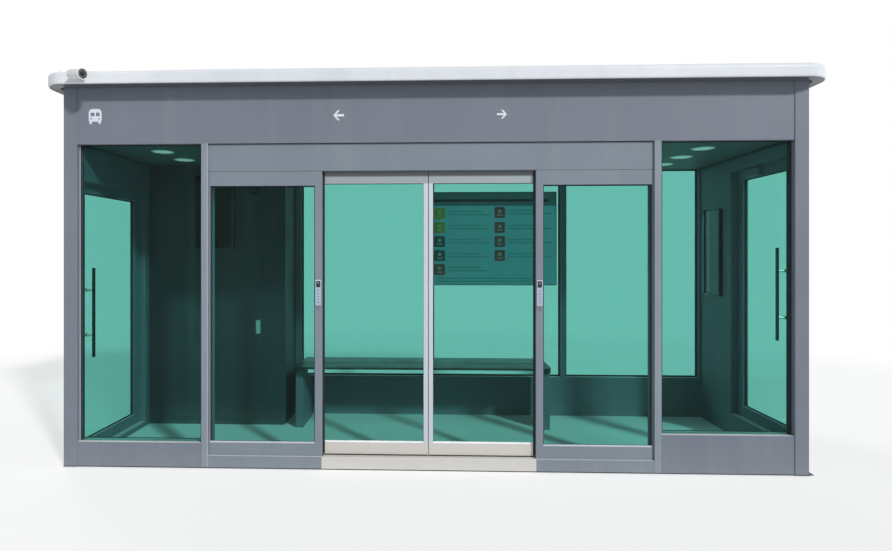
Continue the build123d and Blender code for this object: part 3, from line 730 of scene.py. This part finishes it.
# Fascia marks of white film: a bus seen from the front and two arrows. The bus is left, right, foot and
# top; an opening is middle, half width, foot and top in shares of it; an arrow is x, z, width, height, way.
markLook = Look(
    film=0.0006, bus=(-2.512, -2.415, 2.534, 2.646), corner=0.27, arcSteps=9,
    wheel=((0.24, 0.16), (0.29, 0), (0.40, 0), (0.47, 0.18), (0.5, 0.28)),
    openings=((0.205, 0.145, 0.52, 0.76), (0.32, 0.055, 0.31, 0.40)), openingCorner=(0.004, 0.0001),
    arrows=((-0.653, 2.585, 0.080, 0.073, -1), (0.532, 2.583, 0.072, 0.065, 1)),
    head=((-0.5, 0), (-0.10, 0.5), (0.12, 0.5), (-0.20, 0.12), (0.5, 0.12)),
)


def busOutline(look):
    # half of a rounded body on two tapered wheels, then the same mirrored: the top corner is a quarter circle
    angle, r = np.linspace(0, math.pi / 2, look.arcSteps), look.corner
    arc = np.column_stack([0.5 - r + r * np.cos(angle), 1 - r + r * np.sin(angle)])
    half = np.vstack([look.wheel, arc])
    return np.vstack([half, half[::-1] * (-1, 1)])


def makeMarks(look):
    # an arrow is half of a shaft with a slanting head, from its tip on, then the same mirrored
    face, film = boxOf("front_fascia")[0][1], look.film
    left, right, foot, top = look.bus
    size, middle = np.array([right - left, top - foot]), (left + right) / 2
    shapes = [turned(outlineShape(busOutline(look) * size, film), *sideways["front"], (middle, face, foot))]
    upper = np.array(look.head)
    for x, z, width, height, way in look.arrows:
        arrow = np.vstack([upper, upper[:0:-1] * (1, -1)]) * (-way * width, height)
        shapes.append(turned(outlineShape(arrow, film), *sideways["front"], (x, face, z)))
    makePiece("fascia_marks", shapes, "whiteInk")
    cuts = []
    for reach, half, z0, z1 in look.openings:
        for side in (-1, 1):
            x, ends = middle + side * reach * size[0], (foot + z0 * size[1], foot + z1 * size[1])
            row = (film, face - film / 2, *look.openingCorner)
            cuts.append(plateAt("front", x, 2 * half * size[0], ends, *row))
    makePiece("fascia_mark_windows", cuts, "greyCoat")


makeMarks(markLook)

# Touch plates: a black sensor with a lighter eye, a pale panel with plain marks, and a small label below.
touchLook = Look(
    width=0.030, sensor=(1.3305, 1.376), sensorRise=0.0016, sensorCorner=0.003, eyeShare=0.68,
    eye=((0.007, 0), (0.007, 0.0008), (0.004, 0.0012), (0, 0.0013)), lip=(1.378, 1.3835),
    lipRise=0.0012, lipCorner=0.001, marks=(1.215, 1.236, 1.257, 1.278, 1.302), markWidth=0.012,
    markHeight=0.0096, markRise=0.0004, markCorner=(0.002, 0.0001), label=(1.162, 1.193),
    labelRise=0.001, line=(1.193, 1.197), lineRise=0.002,
)


def makeTouchPlates(look):
    # flat plates at set heights on each panel; the eye is a profile turned round its axis
    sensors, eyes, inks, labels, lips = [], [], [], [], []
    width, rise, lip, (base, top) = look.width, look.sensorRise, look.lip, look.sensor
    eye = turned(lathedShape(look.eye, segments=20), *sideways["front"])
    for low, high in solidsOf("touch_plates"):
        x, face, post = (low[0] + high[0]) / 2, low[1], high[1]
        sensors.append(plateAt("front", x, width, look.sensor, rise, face, look.sensorCorner))
        eyes.append(copied(eye, [(x, face - rise, base + (top - base) * look.eyeShare)]))
        lips.append(plateAt("front", x, high[0] - low[0], lip, look.lipRise, face, look.lipCorner))
        for z in look.marks:
            row = ((z, z + look.markHeight), look.markRise, face, *look.markCorner)
            inks.append(plateAt("front", x, look.markWidth, *row))
        labels.append(plateAt("front", x, width, look.label, look.labelRise, post))
        sensors.append(plateAt("front", x, width, look.line, look.lineRise, post))
    makePiece("touch_sensors", sensors, "glossBlack")
    makePiece("touch_eyes", eyes, "labelCoat")
    makePiece("touch_marks", inks, "plateInk")
    makePiece("touch_lips", lips, "whiteShell")
    makePiece("touch_labels", labels, "labelCoat")


makeTouchPlates(touchLook)
print("fascia marks and touch plates made")

# End door handles: a bright sleeve and collar round each stud, where it meets the glass.
studLook = Look(inset=0.172, radius=0.0096, collar=0.0135, length=0.005, edge=0.001, bar=0.015)


def makeStuds(look):
    # a collar with a cut edge and a sleeve that runs on to the bar's axis, turned round the stud
    r, collar, length, edge = (look[key] for key in ("radius", "collar", "length", "edge"))
    rim = [(collar, 0), (collar, length - edge), (collar - edge, length), (r, length)]
    for word, sign in zip(words, (-1, 1)):
        paneLow, paneHigh = boxOf(f"end_door_{word}_glass")
        shapes = []
        for low, high in solidsOf(f"end_door_{word}_handles"):
            outside = abs(low[0] + high[0]) > abs(paneLow[0] + paneHigh[0])
            way = sign if outside else -sign
            face = (paneHigh if way > 0 else paneLow)[0]
            stud = lathedShape([*rim, (r, high[0] - low[0] - look.bar)], segments=24)
            stud = turned(stud, *sideways["right" if way > 0 else "left"])
            for z in (low[2] + look.inset, high[2] - look.inset):
                shapes.append(copied(stud, [(face, (low[1] + high[1]) / 2, z)]))
        makePiece(f"{word}_handle_studs", shapes, "steelX", f"end_door_{word}")


makeStuds(studLook)

# Ceiling: joints between its sheets, and a frosted lens in every light, in shares of its radius and drop.
ceilingLook = Look(
    joints=(-1.43, 0.0, 1.43), half=0.002, drop=0.0006, sink=0.001, front=0.09,
    radius=0.076, lensDrop=0.0015, lens=((1, 0), (1, 0.5), (0.96, 0.8), (0.6, 1), (0, 1.1)),
)


def makeCeiling(look):
    # straight bars across the ceiling, and the lens's profile turned round the axis of each light
    z, half, back = boxOf("ceiling")[0][2], look.half, boxOf("rear_fascia")[0][1]
    foot, top = z - look.drop, z + look.sink
    bars = [slabShape((x - half, look.front, foot), (x + half, back, top)) for x in look.joints]
    makePiece("ceiling_joints", bars, "rubber")
    lens = lathedShape([(look.radius * r, look.lensDrop * h) for r, h in look.lens], segments=40)
    places = [((a[0] + b[0]) / 2, (a[1] + b[1]) / 2, a[2]) for a, b in solidsOf("downlights")]
    makePiece("light_lenses", [copied(turned(lens, *sideways["under"]), places)], "lampLens")


makeCeiling(ceilingLook)
print("handles and ceiling made")

# Bench: a near-white strip on the front that is a painted highlight of its lit edge, and a top of two boards
# with a joint between them.
benchLook = Look(
    edge=((-1.088, 0.5125), (0.932, 0.5425)), edgeRise=0.0015, joint=(1.190, 1.206),
    margin=0.012, board=(0.03, 0.0015), boardRise=0.002,
)


def makeBench(look):
    # flat plates with rounded corners: one on the front, two on the top
    (x0, y0, _), (x1, y1, top) = boxOf("bench_seat")
    # the front plate is a painted highlight
    makePiece("bench_edge_highlight", [plateOn("front", *look.edge, look.edgeRise, y0)], "benchEdgeHighlight")
    margin, (near, far) = look.margin, look.joint
    boards = (("front", "benchDark", y0 + margin, near), ("rear", "benchLight", far, y1 - margin))
    for word, finish, start, end in boards:
        corners = (x0 + margin, start), (x1 - margin, end)
        board = plateOn("top", *corners, look.boardRise, top, *look.board)
        makePiece(f"bench_{word}_board", [board], finish)


makeBench(benchLook)

# Board: a header with a dark line, coloured squares with plain signs, and rows of plain bars beside them.
# A column is the sides of its squares, their feet, their colours, and the ends of its bars.
boardLook = Look(
    film=0.0006, rim=0.006, rimRise=0.002, header=0.137, line=(2.091, 2.115), lineGap=0.08,
    columns=(
        (
            (0.040, 0.148), (1.921, 1.783, 1.645, 1.507, 1.369),
            ("signGreen", "signGreen", "signTeal", "signTeal", "signBrown"), (0.175, 0.580),
        ),
        ((0.634, 0.737), (1.930, 1.782, 1.645, 1.507), ("signBrown",) * 4, (0.765, 1.190)),
    ),
    icon=0.108, iconCorner=0.012, disc=((0.017, 0), (0.017, 0.00048), (0, 0.0006)),
    discHeight=0.066, dash=(0.054, 0.024, 0.034), bars=((0.066, 0.82), (0.036, 1.0)),
    barHeight=0.014, lowerRows=(1.330, 1.302), lowerHeight=0.012, lowerGaps=(0.04, 0.12),
)


def makeBoard(look):
    # thin films on the board's face; the rim is a profile carried round it, and the discs are turned
    low, high = boxOf("timetable_board")
    face, film, rim, rise = low[1], look.film, look.rim, look.rimRise
    (x0, _, z0), (x1, _, z1) = low, high
    ring = ringShape("xz", (x0, z0), (x1, z1), face, [(0, 0), (0, -rise), (rim, -rise), (rim, 0)])
    makePiece("board_rim", [ring], "signTeal", smooth=False)
    head = plateOn("front", (x0 + rim, z1 - look.header), (x1 - rim, z1 - rim), film, face)
    makePiece("board_header", [head], "boardBand")
    foot, top = look.line
    line = plateOn("front", (x0 + rim, foot), (x1 - look.lineGap, top), film, face - film)
    makePiece("board_line", [line], "boardLine")
    disc = turned(lathedShape(look.disc, segments=24), *sideways["front"])
    signs, inks, bars = {}, [], []
    wide, low, high = look.dash
    for (left, right), rows, colours, (start, end) in look.columns:
        middle = (left + right) / 2
        for z, finish in zip(rows, colours):
            corners = (left, z), (right, z + look.icon)
            signs.setdefault(finish, []).append(plateOn("front", *corners, film, face, look.iconCorner))
            inks.append(copied(disc, [(middle, face - film, z + look.discHeight)]))
            inks.append(plateAt("front", middle, wide, (z + low, z + high), film, face - film))
            for step, share in look.bars:
                corners = (start, z + step), (start + (end - start) * share, z + step + look.barHeight)
                bars.append(plateOn("front", *corners, film, face))
    left, right = look.lowerGaps
    for z in look.lowerRows:
        bars.append(plateOn("front", (x0 + left, z), (x1 - right, z + look.lowerHeight), film, face))
    for finish, shapes in signs.items():
        makePiece(f"board_{finish}", shapes, finish)
    makePiece("board_signs", inks, "signInk")
    makePiece("board_bars", bars, "boardText")


makeBoard(boardLook)
print("bench and board made")

# Cabinet: a wide door skin with a pale lock beside a narrow fixed one, and a display. The service doors in
# the rear wall are a pair with a lock each, and their vents are black strips of painted shade. A corner is a
# radius and a bevel.
cabinetLook = Look(
    skin=0.003, skinCorner=(0.004, 0.0012), gap=0.004, margin=0.03, foot=0.08, head=2.33,
    split=-1.527, lock=(0.040, 0.124), lockHeight=0.843, lockInset=0.05, lockRise=0.006,
    lockCorner=(0.006, 0.002), knob=((0.009, 0), (0.009, 0.004), (0.0075, 0.005), (0, 0.0052)),
    knobShare=0.82, slots=0, slotStep=0.016, slotFoot=0.16, slotWidth=0.30,
    slotHeight=0.006, slotFilm=0.0005, slotCorner=(0.0028, 0.0002),
)
serviceLook = Look(
    cabinetLook, foot=0.03, split=None, lock=(0.026, 0.13), lockHeight=1.3, slots=8,
)
displayLook = Look(bezel=0.014, film=0.0012, corner=0.004)


def doorSkins(side, box, look):
    # two skins side by side on a face, drawn in from its edges by the margin and parted at the split, or
    # in the middle; a pair has a lock each, and a split face has one, on its wide skin
    low, high = box
    face, out = (low[1], -1) if side == "front" else (high[1], 1)
    margin, split, half = look.margin, look.split, look.gap / 2
    middle = (low[0] + high[0]) / 2 if split is None else split
    foot, head = low[2] + look.foot, min(high[2] - margin, look.head)
    spans = (low[0] + margin, middle - half), (middle + half, high[0] - margin)
    row = (look.skin, face, *look.skinCorner)
    skins = [plateOn(side, (a, foot), (b, head), *row) for a, b in spans]
    top, slots, locks = face + out * look.skin, [], []
    for a, b in spans:
        for number in range(look.slots):
            z = foot + look.slotFoot + number * look.slotStep
            row = ((z, z + look.slotHeight), look.slotFilm, top, *look.slotCorner)
            slots.append(plateAt(side, (a + b) / 2, look.slotWidth, *row))
    places = [spans[0][1] - look.lockInset, spans[1][0] + look.lockInset]
    (wide, tall), z, rise = look.lock, look.lockHeight, look.lockRise
    knob = turned(lathedShape(look.knob, segments=20), *sideways[side])
    for x in places if split is None else places[:1]:
        locks.append(plateAt(side, x, wide, (z, z + tall), rise, top, *look.lockCorner))
        locks.append(copied(knob, [(x, top + out * rise, z + tall * look.knobShare)]))
    return skins, slots, locks


def makeScreen(name, side, node, finish, look):
    # a glass plate drawn in from the edges of a face: across is x on the front and y on the left
    (low, high), bezel = boxOf(node), look.bezel
    across, out = (0, 1) if side == "front" else (1, 0)
    corners = (low[across] + bezel, low[2] + bezel), (high[across] - bezel, high[2] - bezel)
    glass = plateOn(side, *corners, look.film, low[out], look.corner)
    makePiece(name, [glass], finish)


def makeCabinet(look, service, display):
    skins, _, locks = doorSkins("front", boxOf("cabinet"), look)
    # the door skins take the darker coat of painted shade
    makePiece("cabinet_door_skins", skins, "cabinetShadeCoat")
    makePiece("cabinet_lock", locks, "lampRim")
    makeScreen("cabinet_display_glass", "front", "cabinet_screen", "screenGlass", display)
    makeScreen("wall_display_glass", "left", "wall_display", "wallGlass", display)
    skins, slots, locks = doorSkins("back", boxOf("rear_service_panel"), service)
    makePiece("service_door_skins", skins, "greyCoat")
    # the vents are black strips: painted shade of their openings
    makePiece("service_vent_shade", slots, "rubber")
    makePiece("service_locks", locks, "blackCoat")


makeCabinet(cabinetLook, serviceLook, displayLook)

# Dome: smoked glass on a flat round base, looking out of the cabinet's front.
domeLook = Look(
    base=0.052, baseHeight=0.014, edge=0.003, edgeShare=0.6, glass=0.043, height=0.058,
    sinkShare=0.5, lap=0.002, steps=12,
)


def makeDome(look):
    # the smoked glass is a quarter ellipse turned round its axis, on a flat round base
    low, high = boxOf("dome_camera")
    place = (low + high) / 2
    place[1] = high[1]
    base, tall, glass = look.base, look.baseHeight, look.glass
    angle = np.linspace(0, math.pi / 2, look.steps)
    curve = np.column_stack([glass * np.cos(angle), tall + (look.height - tall) * np.sin(angle)])
    dome = lathedShape([(glass, tall * look.sinkShare), *curve.tolist()], segments=40)
    piece = makePiece("dome_glass", [turned(dome, *sideways["front"], place)], "glossBlack")
    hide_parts("dome_camera")
    rim = [(base, tall * look.edgeShare), (base - look.edge, tall), (glass - look.lap, tall)]
    ring = turned(lathedShape([(base, 0), *rim], segments=40), *sideways["front"], place)
    makePiece("dome_base", [ring], "blackCoat")


makeDome(domeLook)
print("cabinet and dome made")

# Security camera: a dark face with a lens and a ring of small lamps, under the hood. A profile is radius and
# height, and the radii of the face and the lens are shares.
watchLook = Look(
    middle=(-2.483, -0.258, 2.846), turn=-24.0, tilt=7.0, reach=0.0642, faceRadius=0.0322,
    face=((1, -0.002), (1, 0.0016), (0.9, 0.002), (0.86, 0.0006), (0, 0.0006)), lensRadius=0.011,
    lens=((1.35, 0.0005), (1.3, 0.003), (1, 0.0034), (0.7, 0.0052), (0, 0.006)), lamps=14,
    ring=0.0215, ringHeight=0.000645, lamp=((0.0023, 0), (0.00161, 0.0012), (0, 0.0016)),
)


def makeWatch(look):
    # profiles turned round the barrel's axis, which looks along n: u is level across it and v is up it
    turn, tilt = math.radians(look.turn), math.radians(look.tilt)
    n = np.array([math.cos(tilt) * math.cos(turn), math.cos(tilt) * math.sin(turn), -math.sin(tilt)])
    u = np.array([-math.sin(turn), math.cos(turn), 0.0])
    basis = (u, np.cross(n, u), n, np.array(look.middle) + n * look.reach)
    face = lathedShape([(look.faceRadius * r, h) for r, h in look.face], segments=40)
    lens = lathedShape([(look.lensRadius * r, h) for r, h in look.lens])
    makePiece("camera_face", [turned(joined([face, lens]), *basis)], "glossBlack")
    angle = np.arange(look.lamps) * 2 * math.pi / look.lamps
    ring = look.ring * np.array([np.cos(angle), np.sin(angle)])
    places = np.vstack([ring, np.full_like(angle, look.ringHeight)]).T
    lamps = copied(lathedShape(look.lamp, segments=10), places)
    makePiece("camera_lamps", [turned(lamps, *basis)], "lampRim")


makeWatch(watchLook)

# Anchor: a dark lug beside the foot of the right front post, with its bolt.
anchorLook = Look(
    size=(0.036, 0.040, 0.006), upright=0.030, inset=0.01, bevel=0.001, bolt=(0.007, 0.6),
)


def makeAnchor(look):
    # two slabs in an L, one flat on the ground and one up the post
    low, high = boxOf("front_post_right")
    (wide, deep, thick), (radius, share), bevel = look.size, look.bolt, look.bevel
    x, y = high[0], low[1] + look.inset
    foot = slabShape((x, y, 0), (x + wide, y + deep, thick), bevel)
    web = slabShape((x, y, 0), (x + thick, y + deep, look.upright), bevel)
    bolt = screwsOn("top", radius, [(x + wide * share, y + deep / 2, thick)])
    makePiece("post_anchor", [foot, web, bolt], "blackCoat")


makeAnchor(anchorLook)
print("security camera and anchor made")

# Stage: a pale floor that turns into the white background away from the shelter. The room is half of its
# inner length and depth round its middle.
stageLook = Look(
    size=60.0, drop=0.0005, floor=(0.92, 0.92, 0.91, 1), inner=0.02, near=0.60,
    fade=(4.5, 8.5), room=(2.66, 0.80), middle=(0, 0.76), edge=0.06,
)


def floorPaint(look):
    # the share of plain white that is seen is large far away, middling near the shelter and small inside it
    material, tree = newTree("floorPaint")
    place, coords = placeOf(tree), addNode(tree, "TexCoord").outputs["Object"]
    reach = addNode(tree, "VectorMath", {0: coords}, operation="LENGTH").outputs["Value"]
    sides = [
        rangeOf(tree, distanceOf(tree, place[axis], look.middle[axis]), half, half + look.edge)
        for axis, half in enumerate(look.room)
    ]
    near = rangeOf(tree, mathOf(tree, "MAXIMUM", *sides), 0, 1, look.inner, look.near)
    far = mathOf(tree, "MAXIMUM", near, rangeOf(tree, reach, *look.fade))
    plain = addNode(tree, "BsdfDiffuse", {"Color": look.floor})
    white = addNode(tree, "Emission", {"Color": (1, 1, 1, 1), "Strength": 1.0})
    share = timesOf(tree, far, seenOf(tree))
    return closed(material, addNode(tree, "MixShader", {0: share, 1: plain, 2: white}))


def makeFloor(look):
    # one flat quad between the corners of a square
    corner = np.array([-look.size, look.size]) / 2
    x, y = np.meshgrid(corner, corner)
    points = np.stack([x, y, np.full_like(x, -look.drop)], -1).reshape(-1, 3)
    mesh = bpy.data.meshes.new("floor")
    mesh.from_pydata(points.tolist(), [], gridFaces(2, 2).tolist())
    mesh.materials.append(floorPaint(look))
    floor = placed("floor", mesh)


makeFloor(stageLook)

# Light: a soft sun from the front right and above, a weak one from behind, and an even sky. A sun is the
# way towards it, its strength, and its width in degrees.
lightLook = Look(
    skyColour=(0.90, 0.95, 1.0, 1), sky=0.40,
    suns=(((0.54, -0.655, 0.53), 2.6, 5.0), ((-0.55, 0.60, 0.58), 0.7, 20.0)),
)


def makeLight(look):
    world = bpy.data.worlds.new("studio")
    bpy.context.scene.world = world
    world.use_nodes = True
    tree = world.node_tree
    tree.nodes.clear()
    sky = addNode(tree, "Background", {"Color": look.skyColour, "Strength": look.sky})
    white = addNode(tree, "Background", {"Color": (1, 1, 1, 1), "Strength": 1.0})
    both = addNode(tree, "MixShader", {0: seenOf(tree), 1: sky, 2: white})
    addNode(tree, "OutputWorld", {"Surface": both})
    for number, ((x, y, z), strength, width) in enumerate(look.suns):
        lamp = bpy.data.lights.new(f"sun{number}", "SUN")
        lamp.energy = strength
        lamp.angle = math.radians(width)
        sun = placed(f"sun{number}", lamp)
        sun.rotation_euler = (math.acos(z / math.hypot(x, y, z)), 0, math.atan2(y, x) + math.pi / 2)


makeLight(lightLook)

# Camera: level, at eye height and turned slightly to the left; the shift is the photograph's framing.
cameraLook = Look(
    place=(0.049, -4.41, 1.566), turn=2.03, lens=24.215, sensor=36, shift=(0.03618, -0.02298),
)


def makeCamera(look):
    data = bpy.data.cameras.new("camera")
    data.lens = look.lens
    data.sensor_width = look.sensor
    data.sensor_fit = "HORIZONTAL"
    data.shift_x, data.shift_y = look.shift
    camera = placed("camera", data)
    camera.location = look.place
    camera.rotation_euler = (math.pi / 2, 0, math.radians(look.turn))
    bpy.context.scene.camera = camera


makeCamera(cameraLook)
bpy.context.scene.view_settings.view_transform = "Standard"
print("stage, light and camera set")
